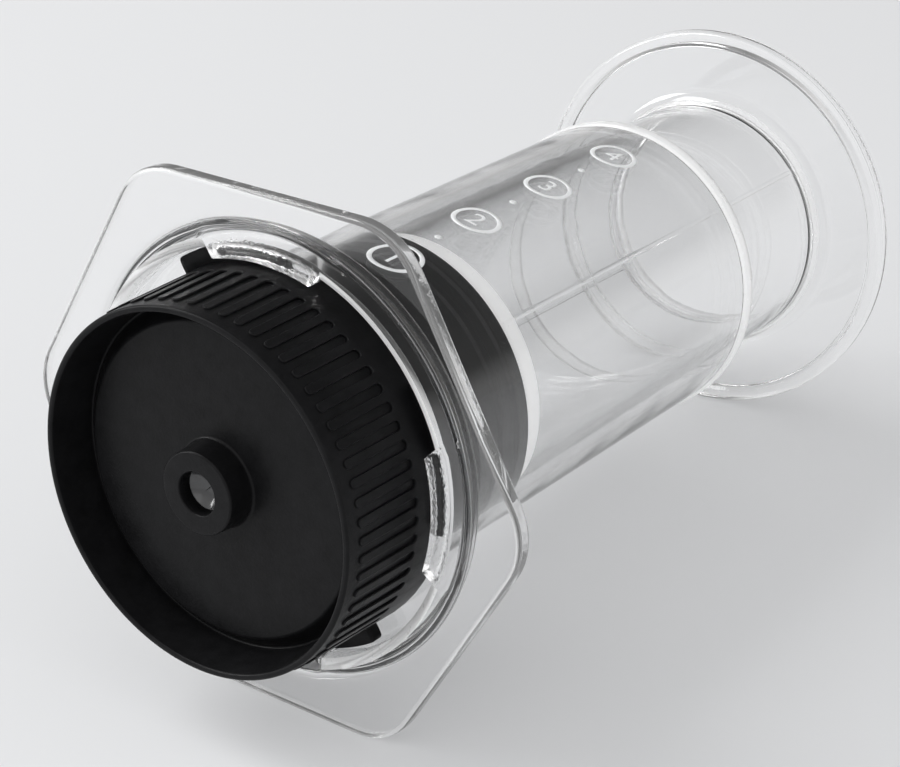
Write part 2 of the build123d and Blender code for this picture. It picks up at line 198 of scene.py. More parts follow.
class PlungerSizes(bpy.types.PropertyGroup):
    """Sizes of the clear plunger and its seal."""

    gap: size("Gap", "Between the plunger's tube and the bore", 1.7)
    wall: size("Wall", "Wall of the plunger's tube", 2.2)
    length: size("Length", "From the front wall to the flange's rear face", 124.9)
    front_wall: size("Front wall", "Thickness of the front wall", 4.2)
    front_round: size("Front rounding", "Rounding of the front wall's edge", 1.1)
    # The front band is frosted and carries a painted glow.
    front_band: size("Front band", "Length of the frosted band around the front wall", 5.6)
    floor_round: size("Floor rounding", "Rounding inside, at the front wall", 2)
    disc_radius: size("Flange radius", "Radius of the pressing flange", 45.2)
    disc_thickness: size("Flange thickness", "Thickness of that flange", 2.8)
    disc_root: size("Flange root", "Rounding between the tube and the flange", 3.8)
    disc_mouth: size("Mouth rounding", "Rounding of the open end", 1.6)
    lip_width: size("Lip width", "Width of the flange's raised lip", 2.6)
    lip_height: size("Lip height", "Height of that lip", 0.8)
    lip_round: size("Lip rounding", "Rounding of the lip", 1.1)
    lip_root: size("Lip root", "Rounding at the lip's foot", 0.4)
    neck_radius: size("Neck radius", "Radius of the neck in the seal", 17)
    neck_length: size("Neck length", "Length of that neck", 6)
    knob_radius: size("Knob radius", "Radius of the knob in the seal", 21)
    knob_length: size("Knob length", "Length of that knob", 16)
    knob_round: size("Knob rounding", "Rounding of the knob", 1.5)
    parting_turn: turn("Parting line", "Angle of the mould's parting line", 141.2)
    parting_width: size("Parting width", "Width of the parting line's ridge", 1.2)
    parting_height: size("Parting height", "Height of that ridge", 0.36)
    seal_length: size("Seal length", "Length of the seal", 32.9)
    seal_relief: size("Seal relief", "How far the seal steps back between its ridges", 0.55)
    seal_bevel: size("Seal bevel", "Bevel of the seal's front", 3.2)
    seal_lip: size("Seal lip", "Length of the first and last ridge", 3.6)
    seal_ridge: size("Seal ridge", "Length of the middle ridge", 1.5)
    seal_round: size("Seal rounding", "Rounding of the ridges", 0.4)
    seal_ridge_share: share("Ridge place", "Place of the middle ridge along the seal", 0.73)
    rest_gap: size("Rest gap", "From the paper filter to the seal", 0.3)
    running_gap: size("Running gap", "Between faces that slide or turn on each other", 0.1)


class ScaleSizes(bpy.types.PropertyGroup):
    """Sizes of the printed scale on the tube."""

    first: size("First ring", "From the cap's rim to the first ring's centre", 50.5)
    pitch: size("Pitch", "From one ring to the next", 25)
    count: bpy.props.IntProperty(name="Rings", description="Number of rings", default=4)
    around: turn("Place", "Angle of the scale around the tube", 102.3)
    ring_radius: size("Ring radius", "Outer radius of a ring", 5.05)
    ring_stroke: size("Ring stroke", "Width of a ring's line", 1.0)
    numeral_height: size("Numeral height", "Height of the numerals", 4.7)
    dot_radius: size("Dot radius", "Radius of the dots between the rings", 0.8)
    ink: size("Ink", "Thickness of the ink", 0.03)


class PressColours(bpy.types.PropertyGroup):
    """Colours of the press and its stage."""

    clear: colour("Clear plastic", "Tint of the clear plastic", (0.997, 0.998, 0.999))
    black: colour("Black plastic", "Colour of the cap", (0.0078, 0.0078, 0.0084))
    rubber: colour("Rubber", "Colour of the seal", (0.011, 0.011, 0.0115))
    silicone: colour("Silicone", "Colour of the valve", (0.05, 0.051, 0.054))
    paper: colour("Paper", "Colour of the paper filter", (0.8, 0.79, 0.76))
    ink: colour("Ink", "Colour of the printed scale", (0.9, 0.91, 0.92))
    floor: colour("Floor", "Colour of the floor", (0.515, 0.519, 0.527))


class StageSizes(bpy.types.PropertyGroup):
    """Camera, floor and light."""

    place: bpy.props.FloatVectorProperty(
        name="Camera place",
        description="Where the camera stands",
        default=(226.2504 * MM, -329.9467 * MM, 230.6402 * MM),
        size=3,
        subtype="TRANSLATION",
    )
    azimuth: turn("Azimuth", "Angle of the camera around the press", 35.7147)
    elevation: turn("Elevation", "Angle of the camera over the floor", 25.8337)
    roll: turn("Roll", "Tilt of the camera", 0.1253)
    lens: bpy.props.FloatProperty(
        name="Lens", description="Focal length in millimetres", default=85.0998, unit="CAMERA"
    )
    floor_radius: size("Floor radius", "Radius of the floor", 4000)
    floor_glow: bpy.props.FloatProperty(
        name="Floor glow", description="Strength of the floor's own light", default=0.52
    )
    sky_light: bpy.props.FloatProperty(
        name="Sky light", description="Strength of the light from all around", default=0.92
    )
    dark_side: bpy.props.FloatVectorProperty(
        name="Dark side",
        description="Direction of the dark wall behind the press",
        default=(-0.15, 0.9, 0.4),
        size=3,
        subtype="DIRECTION",
    )


def layout(scene):
    """Return the radii and stations that follow from the sizes."""
    cap, chamber, plunger = scene.press_cap, scene.press_chamber, scene.press_plunger
    at = SimpleNamespace()
    at.cap_radius = cap.rim_radius + cap.wall_draft
    at.grip_front = cap.rim_radius + cap.rib_height
    at.grip_rear = at.grip_front + cap.rib_draft
    at.ear_radius = at.grip_rear + cap.ear_height
    at.mouth_radius = at.ear_radius + chamber.mouth_gap
    at.house_radius = at.mouth_radius + chamber.mouth_wall
    at.ledge_radius = at.house_radius + chamber.flange_root + chamber.flange_edge
    at.tab_radius = at.mouth_radius - chamber.tab_height
    at.tube_radius = chamber.bore_radius + chamber.tube_wall
    at.flared_radius = at.tube_radius + chamber.tube_flare
    at.bead_radius = at.flared_radius + chamber.bead_height
    at.seat_radius = chamber.bore_radius + chamber.seat_width
    at.seal_radius = chamber.bore_radius - plunger.running_gap
    at.plunger_radius = chamber.bore_radius - plunger.gap

    at.flange_front = cap.reach
    at.flange_rear = at.flange_front + chamber.flange_thickness
    at.lead_rear = at.flange_front + chamber.lead_depth
    at.tab_rear = at.flange_front + chamber.tab_depth
    at.ear_front = at.tab_rear + plunger.running_gap
    at.cap_rear = at.ear_front + cap.ear_thickness
    at.plate_front = at.cap_rear - cap.plate_thickness
    at.paper_rear = at.cap_rear + cap.paper
    at.seat = at.paper_rear + plunger.running_gap
    at.mouth_bottom = at.seat + chamber.seat_height
    at.house_rear = at.mouth_bottom + chamber.mouth_floor
    at.open_rim = at.flange_front + chamber.length
    at.bead_front = at.open_rim - chamber.bead_length
    at.floor_rear = cap.floor_depth + cap.floor_thickness
    at.bore_end = cap.nozzle_setback + cap.bore_length
    at.slot_end = cap.rib_start + cap.rib_run
    at.seal_front = at.paper_rear + plunger.rest_gap
    at.seal_rear = at.seal_front + plunger.seal_length
    at.plunger_front = at.seal_rear + plunger.running_gap
    at.plunger_floor = at.plunger_front + plunger.front_wall
    at.band_rear = at.plunger_front + plunger.front_band
    at.disc_rear = at.plunger_front + plunger.length
    at.disc_front = at.disc_rear - plunger.disc_thickness
    at.mouth_front = at.disc_front - plunger.lip_height
    at.knob_rear = at.plunger_front - plunger.neck_length
    at.knob_front = at.knob_rear - plunger.knob_length
    return at


def tube_surface(at, station):
    """Return the outer radius of the chamber's tube at a station."""
    start, end = at.house_rear, at.bead_front - (at.bead_radius - at.flared_radius)
    return at.tube_radius + (at.flared_radius - at.tube_radius) * (station - start) / (end - start)


def hexagon(chamber, around):
    """Return how far the flange's hexagonal outline is from the press axis at an angle."""
    half, rounding = chamber.flange_flats / 2, chamber.flange_corner
    off_corner = abs((around + pi / 6) % (pi / 3) - pi / 6)
    off_side = pi / 6 - off_corner
    if half * tan(off_side) < (half - rounding) * tan(pi / 6):
        return half / cos(off_side)
    centre = (half - rounding) / cos(pi / 6)
    return centre * cos(off_corner) + (rounding**2 - (centre * sin(off_corner)) ** 2) ** 0.5


# Mesh tools


def radius_of(vert):
    """Return how far a vertex is from the press axis."""
    return hypot(vert.co.x, vert.co.y)


def angle_of(point):
    """Return the angle of a point about the press axis, from 0 to a full turn."""
    return atan2(point.y, point.x) % (2 * pi)


def apart(first, second):
    """Return how far two angles are apart."""
    return abs((first - second + pi) % (2 * pi) - pi)


def verts_of(geometry):
    """Return the vertices among some geometry."""
    return [part for part in geometry if isinstance(part, bmesh.types.BMVert)]


def weld(bm, distance=WELD):
    """Merge the vertices that are nearer than a distance."""
    bmesh.ops.remove_doubles(bm, verts=bm.verts[:], dist=distance)


def face_outwards(bm):
    """Turn all faces outwards."""
    bmesh.ops.recalc_face_normals(bm, faces=bm.faces[:])


def chain(bm, places, closed=True):
    """Draw edges from place to place and return their vertices."""
    points = [bm.verts.new(place) for place in places]
    for start, end in zip(points, points[1:] + points[:closed]):
        bm.edges.new((start, end))
    return points


def bevel(bm, geometry, offset, segments, affect="EDGES"):
    """Round edges or corners of a mesh."""
    bmesh.ops.bevel(
        bm,
        geom=geometry,
        offset=offset,
        offset_type="OFFSET",
        affect=affect,
        segments=segments,
        profile=0.5,
        material=-1,
        clamp_overlap=True,
    )


def round_corner(bm, corner, rounding, segments):
    """Round a corner of an outline with an arc of the given radius."""
    a, b = (edge.other_vert(corner).co - corner.co for edge in corner.link_edges)
    bevel(bm, [corner], rounding * tan((pi - a.angle(b)) / 2), segments, "VERTICES")


def spin(bm, geometry, angle=2 * pi, steps=STEPS):
    """Spin geometry about the press axis."""
    bmesh.ops.spin(
        bm,
        geom=geometry,
        cent=(0, 0, 0),
        axis=(0, 0, 1),
        dvec=(0, 0, 0),
        angle=angle,
        steps=steps,
        use_merge=angle == 2 * pi,
        use_normal_flip=False,
        use_duplicate=False,
    )


def turned(corners, closed=True):
    """Return a mesh turned from an outline of (radius, station, rounding) corners."""
    bm = bmesh.new()
    points = chain(bm, [(radius, 0, station) for radius, station, _ in corners], closed)
    for point, (_, _, rounding) in zip(points, corners):
        if rounding > 0:
            segments = max(3, min(10, round(2.5 + rounding / MM * 2)))
            round_corner(bm, point, rounding, segments)
    weld(bm, MM / 500)
    spin(bm, bm.verts[:] + bm.edges[:])
    weld(bm)
    return bm


def add_mesh(bm, other):
    """Move the geometry of another mesh into this one."""
    mesh = bpy.data.meshes.new("part")
    other.to_mesh(mesh)
    other.free()
    bm.from_mesh(mesh)
    bpy.data.meshes.remove(mesh)


def parting_ridge(bm, around, start, end, least, width, height):
    """Raise the parting line of a mould on a tube, between two stations and over a least radius."""
    for middle in (around, around + pi):
        across = Vector((-sin(middle), cos(middle), 0))
        wall = [
            face
            for face in bm.faces
            if all(
                radius_of(v) > least
                and start - NEAR < v.co.z < end + NEAR
                and apart(angle_of(v.co), middle) < radians(3)
                for v in face.verts
            )
        ]
        for place in (-width / 2, 0, width / 2):
            parts = {part for face in wall for part in (face, *face.edges, *face.verts)}
            cut = bmesh.ops.bisect_plane(
                bm,
                geom=list(parts),
                dist=HAIR,
                plane_co=across * place,
                plane_no=across,
            )
            wall = [face for face in cut["geom"] if isinstance(face, bmesh.types.BMFace)]
        for vert in {v for face in wall for v in face.verts}:
            if abs(vert.co.dot(across)) < MM / 1000:
                vert.co += Vector((cos(middle), sin(middle), 0)) * height
        for edge in {edge for face in wall for edge in face.edges}:
            if abs(edge.verts[0].co.z - edge.verts[1].co.z) > width:
                edge.smooth = False


def frost(bm, zone, amount, crinkle=0):
    """Frost the faces whose radius and station lie in a zone and give them a painted glow, and
    crinkle them, by 0 to 1.
    """
    for name, value in (("frost", amount), ("crinkle", crinkle)):
        layer = bm.faces.layers.float.get(name) or bm.faces.layers.float.new(name)
        for face in bm.faces:
            middle = face.calc_center_median()
            if zone(hypot(*middle.xy), middle.z):
                face[layer] = value


def add_piece(bm, name, material, body, replaces=()):
    """Turn a mesh on the press's own axes into a finished piece on a body of the frame."""
    weld(bm)
    face_outwards(bm)
    bmesh.ops.transform(bm, matrix=PRESS, verts=bm.verts[:])
    for face in bm.faces:
        face.smooth = True
    if any(len(edge.link_faces) != 2 for edge in bm.edges):
        raise RuntimeError(name + " isn't closed")
    mesh = bpy.data.meshes.new(name)
    bm.to_mesh(mesh)
    bm.free()
    mesh.materials.append(material_named(material))
    piece = bpy.data.objects.new(name, mesh)
    bpy.context.scene.collection.objects.link(piece)
    weighted = piece.modifiers.new("Weighted normals", "WEIGHTED_NORMAL")
    weighted.mode = "FACE_AREA"
    weighted.weight = 100
    weighted.keep_sharp = True
    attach(piece, body)
    if replaces:
        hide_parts(*replaces)


# Shader tools


class Number:
    """A shader value that adds Math nodes when it is used in an expression."""

    def __init__(self, finish, socket):
        self.finish = finish
        self.socket = socket

    def _math(self, operation, first, second):
        return self.finish.number("Math", {"operation": operation}, {0: first, 1: second})

    def __add__(self, other):
        return self._math("ADD", self, other)

    def __sub__(self, other):
        return self._math("SUBTRACT", self, other)

    def __rsub__(self, other):
        return self._math("SUBTRACT", other, self)

    def __mul__(self, other):
        return self._math("MULTIPLY", self, other)

    __radd__ = __add__
    __rmul__ = __mul__


class Finish:
    """The nodes of a material, or of the world."""

    def __init__(self, owner):
        owner.use_nodes = True
        self.tree = owner.node_tree
        self.tree.nodes.clear()

    def add(self, kind, settings=None, sockets=None):
        """Add a node with its settings first, and then the values or links of its sockets."""
        node = self.tree.nodes.new("ShaderNode" + kind)
        for name, value in (settings or {}).items():
            if name == "stops":
                for place, shade in value[2:]:
                    node.color_ramp.elements.new(place)
                for element, (place, shade) in zip(node.color_ramp.elements, sorted(value)):
                    element.position = place
                    element.color = (shade, shade, shade, 1)
            else:
                setattr(node, name, value)
        for name, value in (sockets or {}).items():
            if isinstance(value, Number):
                value = value.socket
            if isinstance(value, bpy.types.NodeSocket):
                self.tree.links.new(value, node.inputs[name])
            else:
                node.inputs[name].default_value = value
        return node

    def number(self, kind, settings, sockets, output=0):
        """Add a node and return one of its outputs for use in an expression."""
        return Number(self, self.add(kind, settings, sockets).outputs[output])

    def noise(self, scale, detail=3, roughness=0.5):
        """Return a noise value on the piece's own coordinates, with its scale per metre."""
        place = self.add("TexCoord").outputs["Object"]
        sockets = {"Vector": place, "Scale": scale, "Detail": detail, "Roughness": roughness}
        return self.number("TexNoise", {}, sockets, "Fac")

    def attribute(self, name):
        """Return what the faces hold under a name."""
        return self.number("Attribute", {"attribute_name": name}, {}, "Fac")

    def ramp(self, value, *stops):
        """Return a value through a ramp of (place, brightness) stops."""
        return self.number("ValToRGB", {"stops": stops}, {"Fac": value})

    def mix(self, factor, first, second):
        """Mix two colours by a factor."""
        node = self.add("Mix", {"data_type": "RGBA"}, {"Factor": factor, 6: first, 7: second})
        return node.outputs[2]

    def bump(self, height, distance, strength=1.0):
        """Return the normal of a height in metres times a distance."""
        sockets = {"Height": height, "Distance": distance, "Strength": strength}
        return self.add("Bump", {}, sockets).outputs[0]

    def principled(self, sockets):
        """Return a Principled shader."""
        return self.add("BsdfPrincipled", {}, sockets).outputs[0]

    def surface(self, shader):
        """Give the material its shader."""
        self.add("OutputMaterial", {}, {"Surface": shader})


def shade(tone, factor):
    """Return a colour with its brightness changed, as four numbers."""
    return tuple(min(1, part * factor) for part in tone) + (1,)


def clear_plastic(finish, tone):
    """Clear polished plastic, faintly wavy as mouldings are, and frosted with a painted glow where
    its faces say so.
    """
    waves = finish.noise(70, detail=1)
    haze = finish.noise(420, detail=4, roughness=0.6)
    crinkles = finish.noise(700, detail=3, roughness=0.65)
    crinkling = crinkles * finish.attribute("crinkle")
    polished = finish.principled(
        {
            "Base Color": shade(tone, 1),
            "Roughness": haze * 0.035 + 0.005,
            "IOR": CLEAR_IOR,
            "Transmission Weight": 1,
            "Normal": finish.bump(waves * 0.35 + crinkling * 1.6, 0.00012),
        }
    )
    frosted_and_glowing = finish.principled(
        {
            "Base Color": finish.mix(crinkles, shade(tone, 0.93), shade(tone, 1)),
            "Roughness": crinkles * 0.2 + 0.2,
            "IOR": CLEAR_IOR,
            "Transmission Weight": 0.2,
            # Painted glow: the frosted faces give off their own light, standing in for light caught
            # in the clear edges and bands.
            "Emission Color": shade(tone, 1),
            "Emission Strength": 0.35,
            "Normal": finish.bump(crinkling, 0.0005, 0.6),
        }
    )
    frost_and_glow_mask = finish.attribute("frost")
    mixed = finish.add("MixShader", {}, {0: frost_and_glow_mask, 1: polished, 2: frosted_and_glowing})
    finish.surface(mixed.outputs[0])


def black_plastic(finish, tone):
    """Black moulded plastic with a fine matt grain and a soft mottling."""
    grain = finish.noise(1500, detail=3, roughness=0.65)
    clouds = finish.noise(260, detail=5, roughness=0.7)
    plastic = {
        "Base Color": finish.mix(clouds, shade(tone, 0.3), shade(tone, 1.7)),
        "Roughness": clouds * 0.16 + grain * 0.1 + 0.2,
        "Specular IOR Level": 0.1,
        "Normal": finish.bump(grain * 0.7 + clouds * 0.3, 0.00012, 0.5),
    }
    finish.surface(finish.principled(plastic))


def seal_rubber(finish, tone):
    """Black rubber with a satin skin and faint smears."""
    grain = finish.noise(2600, detail=3)
    smears = finish.noise(55, detail=4, roughness=0.65)
    rubber = {
        "Base Color": finish.mix(smears, shade(tone, 0.75), shade(tone, 1.5)),
        "Roughness": smears * 0.2 + 0.4,
        "Normal": finish.bump(grain, 0.00005, 0.4),
    }
    finish.surface(finish.principled(rubber))


def silicone(finish, tone):
    """Smoky silicone with a glossy skin."""
    clouds = finish.noise(900, detail=3)
    valve = {
        "Base Color": finish.mix(clouds, shade(tone, 0.85), shade(tone, 1.1)),
        "Roughness": clouds * 0.15 + 0.25,
        "IOR": 1.43,
        "Transmission Weight": 0.2,
        "Coat Weight": 1,
        "Coat Roughness": 0.1,
        "Normal": finish.bump(clouds, 0.00004, 0.3),
    }
    finish.surface(finish.principled(valve))


def filter_paper(finish, tone):
    """White crinkled filter paper."""
    fibres = finish.noise(2200, detail=6, roughness=0.7)
    crimps = finish.noise(500, detail=2)
    paper = {
        "Base Color": finish.mix(fibres, shade(tone, 0.88), shade(tone, 1.08)),
        "Roughness": fibres * 0.15 + 0.8,
        "Normal": finish.bump(fibres * 0.6 + crimps * 0.4, 0.0001, 0.7),
    }
    finish.surface(finish.principled(paper))


def printed_ink(finish, tone):
    """White printing ink, slightly uneven."""
    speckle = finish.noise(2500, detail=4, roughness=0.7)
    ink = {
        "Base Color": finish.mix(speckle, shade(tone, 0.9), shade(tone, 1.05)),
        "Roughness": speckle * 0.2 + 0.4,
        "Normal": finish.bump(speckle, 0.00002, 0.4),
    }
    finish.surface(finish.principled(ink))


def studio_floor(finish, tone):
    """Pale satin floor, softly lit from below like a light table."""
    clouds = finish.noise(3, detail=4, roughness=0.6)
    floor = {
        "Base Color": finish.mix(clouds, shade(tone, 1), shade(tone, 0.99)),
        "Roughness": clouds * 0.1 + 0.5,
        "Specular IOR Level": 0.25,
        "Emission Color": shade(tone, 1),
        "Emission Strength": bpy.context.scene.press_stage.floor_glow,
    }
    finish.surface(finish.principled(floor))


MATERIALS = {
    "clear_plastic": (clear_plastic, "clear"),
    "cap_plastic": (black_plastic, "black"),
    "plate_plastic": (black_plastic, "black"),
    "seal_rubber": (seal_rubber, "rubber"),
    "silicone": (silicone, "silicone"),
    "filter_paper": (filter_paper, "paper"),
    "printed_ink": (printed_ink, "ink"),
    "studio_floor": (studio_floor, "floor"),
}


def material_named(name):
    """Return one of the materials, made when it is first asked for."""
    material = bpy.data.materials.get(name)
    if not material:
        material = bpy.data.materials.new(name)
        make, tone = MATERIALS[name]
        make(Finish(material), getattr(bpy.context.scene.press_colours, tone))
    return material


# Pieces


class PRESS_OT_chamber(bpy.types.Operator):
    """Make the clear chamber: tube, mouth with its tabs, and hexagonal flange"""

    bl_idname = "press.chamber"
    bl_label = "Chamber"

    def execute(self, context):
        scene = context.scene
        at, sizes = layout(scene), scene.press_chamber
        bm = turned(
            [
                (at.ledge_radius, at.flange_front, 0),
                (at.mouth_radius + sizes.lead_width, at.flange_front, 0),
                (at.mouth_radius, at.lead_rear, 0),
                (at.mouth_radius, at.tab_rear, 0),
                (at.mouth_radius, at.mouth_bottom, sizes.mouth_round),
                (at.seat_radius, at.mouth_bottom, sizes.seat_round),
                (at.seat_radius, at.seat, sizes.seat_round),
                (sizes.bore_radius, at.seat, sizes.seat_round),
                (sizes.bore_radius, at.open_rim - sizes.bead_round, sizes.seat_round),
                (sizes.bore_radius + sizes.bead_round, at.open_rim, sizes.seat_round),
                (at.bead_radius, at.open_rim, sizes.bead_round),
                (at.bead_radius, at.bead_front, sizes.bead_height),
                (at.flared_radius, at.bead_front - sizes.bead_height, sizes.bead_round),
                (at.tube_radius, at.house_rear, sizes.tube_root),
                (at.house_radius, at.house_rear, sizes.mouth_shoulder),
                (at.house_radius, at.flange_rear, sizes.flange_root),
                (at.ledge_radius, at.flange_rear, 0),
            ],
            closed=False,
        )
        self.add_tabs(bm, at, sizes)
        self.add_flange(bm, at, sizes)
        lead = at.mouth_radius + sizes.lead_width
        bead = at.bead_front - sizes.bead_height
        ledge, flange_rear = at.ledge_radius, at.flange_rear
        # The frosted faces also get a painted glow, standing in for light caught by the flange's
        # edge, the lead-in and the open rim's bead; the tabs are only crinkled.
        frost(bm, lambda radius, station: radius > ledge and station < flange_rear, 0.15)
        frost(bm, lambda radius, station: not at.flange_front < station < flange_rear, 0)
        frost(bm, lambda radius, station: radius < lead and station < at.lead_rear, 0.6)
        frost(bm, lambda radius, station: radius < at.mouth_radius and station < at.tab_rear, 0, 1)
        frost(bm, lambda radius, station: station > bead, 0.35)
        add_piece(bm, "chamber_body", "clear_plastic", "chamber", ("chamber",))
        return {"FINISHED"}

    @staticmethod
    def add_tabs(bm, at, sizes):
        """Extrude the tabs from the mouth's wall, flush with its front and with slanted ends."""
        rear, lead = at.tab_rear + NEAR, at.mouth_radius + sizes.lead_width + NEAR
        for middle in QUARTERS:
            region = [
                face
                for face in bm.faces
                if all(v.co.z < rear and radius_of(v) < lead for v in face.verts)
                and apart(angle_of(face.calc_center_median()), middle) < sizes.tab_spread / 2
            ]
            made = bmesh.ops.extrude_face_region(bm, geom=region)["geom"]
            bmesh.ops.delete(bm, geom=region, context="FACES")
            for vert in verts_of(made):
                if radius_of(vert) > at.mouth_radius + NEAR:
                    continue
                off = (angle_of(vert.co) - middle + pi) % (2 * pi) - pi
                around = middle + off * (1 - 2 * sizes.tab_slant / sizes.tab_spread)
                along = at.flange_front if vert.co.z < at.lead_rear + NEAR else vert.co.z
                vert.co = (at.tab_radius * cos(around), at.tab_radius * sin(around), along)
        weld(bm)
        face_outwards(bm)
        rim = [
            edge
            for edge in bm.edges
            if all(radius_of(v) < at.tab_radius + NEAR for v in edge.verts)
            and min(v.co.z for v in edge.verts) < rear
            and edge.calc_face_angle(0) > SHARP
        ]
        bevel(bm, rim, sizes.tab_bevel, 3)

    @staticmethod
    def add_flange(bm, at, sizes):
        """Draw the front ledge out to the flange's edge, along it, and back to the rear ledge."""
        rim = at.flange_front + NEAR
        loop = [edge for edge in bm.edges if edge.is_boundary and edge.verts[0].co.z < rim]
        edges = []
        for reach, along in ((hexagon, 0), (hexagon, sizes.flange_thickness), (None, 0)):
            made = bmesh.ops.extrude_edge_only(bm, edges=loop)["geom"]
            verts = set(verts_of(made))
            for vert in verts:
                around = angle_of(vert.co)
                radius = reach(sizes, around) if reach else at.ledge_radius
                vert.co = (radius * cos(around), radius * sin(around), vert.co.z + along)
            loop = [e for e in bm.edges if e.verts[0] in verts and e.verts[1] in verts]
            edges += loop if reach else []
        face_outwards(bm)
        bevel(bm, edges, sizes.flange_edge, 6)


class PRESS_OT_plunger(bpy.types.Operator):
    """Make the clear plunger with its knob and its round flange"""

    bl_idname = "press.plunger"
    bl_label = "Plunger"

    def execute(self, context):
        scene = context.scene
        at, sizes = layout(scene), scene.press_plunger
        bore = at.plunger_radius - sizes.wall
        core = sizes.neck_radius - sizes.wall
        foot = sizes.disc_radius - sizes.lip_width
        slope = foot - sizes.lip_height
        bm = turned(
            [
                (0, at.knob_front, 0),
                (sizes.knob_radius, at.knob_front, sizes.knob_round),
                (sizes.knob_radius, at.knob_rear, sizes.knob_round),
                (sizes.neck_radius, at.knob_rear, sizes.seal_round),
                (sizes.neck_radius, at.plunger_front, sizes.seal_round),
                (at.plunger_radius, at.plunger_front, sizes.front_round),
                (at.plunger_radius, at.band_rear, 0),
                (at.plunger_radius, at.disc_front, sizes.disc_root),
                (slope, at.disc_front, sizes.lip_root),
                (foot, at.disc_front - sizes.lip_height, sizes.lip_root),
                (sizes.disc_radius, at.disc_front - sizes.lip_height, sizes.lip_round),
                (sizes.disc_radius, at.disc_rear + sizes.lip_height, sizes.lip_round),
                (foot, at.disc_rear + sizes.lip_height, sizes.lip_root),
                (slope, at.disc_rear, sizes.lip_root),
                (bore, at.disc_rear, sizes.disc_mouth),
                (bore, at.mouth_front, 0),
                (bore, at.plunger_floor, sizes.floor_round),
                (core, at.plunger_floor, sizes.seal_round),
                (core, at.knob_front + sizes.wall, sizes.knob_round),
                (0, at.knob_front + sizes.wall, 0),
            ],
            closed=False,
        )
        parting_ridge(
            bm,
            sizes.parting_turn,
            at.band_rear,
            at.disc_front - sizes.disc_root,
            at.plunger_radius - 5 * NEAR,
            sizes.parting_width,
            sizes.parting_height,
        )
        wall = at.plunger_radius - sizes.front_round
        # The frosted faces also get a painted glow: a bright band behind the seal, faint light on
        # the flange's lip and at the open end.
        frost(bm, lambda radius, station: radius > wall and station < at.band_rear, 1)
        frost(bm, lambda radius, station: radius > foot, 0.08)
        rim = bore + sizes.disc_mouth
        frost(bm, lambda radius, station: radius < rim and station > at.mouth_front, 0.3)
        add_piece(bm, "plunger_body", "clear_plastic", "plunger", ("plunger",))
        return {"FINISHED"}


class PRESS_OT_seal(bpy.types.Operator):
    """Make the rubber seal with its three ridges"""

    bl_idname = "press.seal"
    bl_label = "Plunger seal"

    def execute(self, context):
        scene = context.scene
        at, sizes = layout(scene), scene.press_plunger
        relief, rounding, gap = sizes.seal_relief, sizes.seal_round, sizes.running_gap
        body = at.seal_radius - relief
        first = at.seal_front + sizes.seal_bevel
        first_end = first + sizes.seal_lip
        middle = at.seal_front + sizes.seal_length * sizes.seal_ridge_share
        middle_end = middle + sizes.seal_ridge
        last = at.seal_rear - sizes.seal_lip
        bm = turned(
            [
                (0, at.seal_front, 0),
                (body - sizes.seal_bevel, at.seal_front, sizes.seal_bevel / 2),
                (at.seal_radius, first, rounding),
                (at.seal_radius, first_end, rounding),
                (body, first_end + relief, rounding),
                (body, middle - relief, rounding),
                (at.seal_radius, middle, rounding),
                (at.seal_radius, middle_end, rounding),
                (body, middle_end + relief, rounding),
                (body, last - relief, rounding),
                (at.seal_radius, last, rounding),
                (at.seal_radius, at.seal_rear, rounding * 2),
                (sizes.neck_radius + gap, at.seal_rear, rounding),
                (sizes.neck_radius + gap, at.knob_rear + gap, rounding),
                (sizes.knob_radius + gap, at.knob_rear + gap, sizes.knob_round),
                (sizes.knob_radius + gap, at.knob_front - gap, sizes.knob_round),
                (0, at.knob_front - gap, 0),
            ],
            closed=False,
        )
        add_piece(bm, "seal_body", "seal_rubber", "seal", ("plunger_seal",))
        return {"FINISHED"}


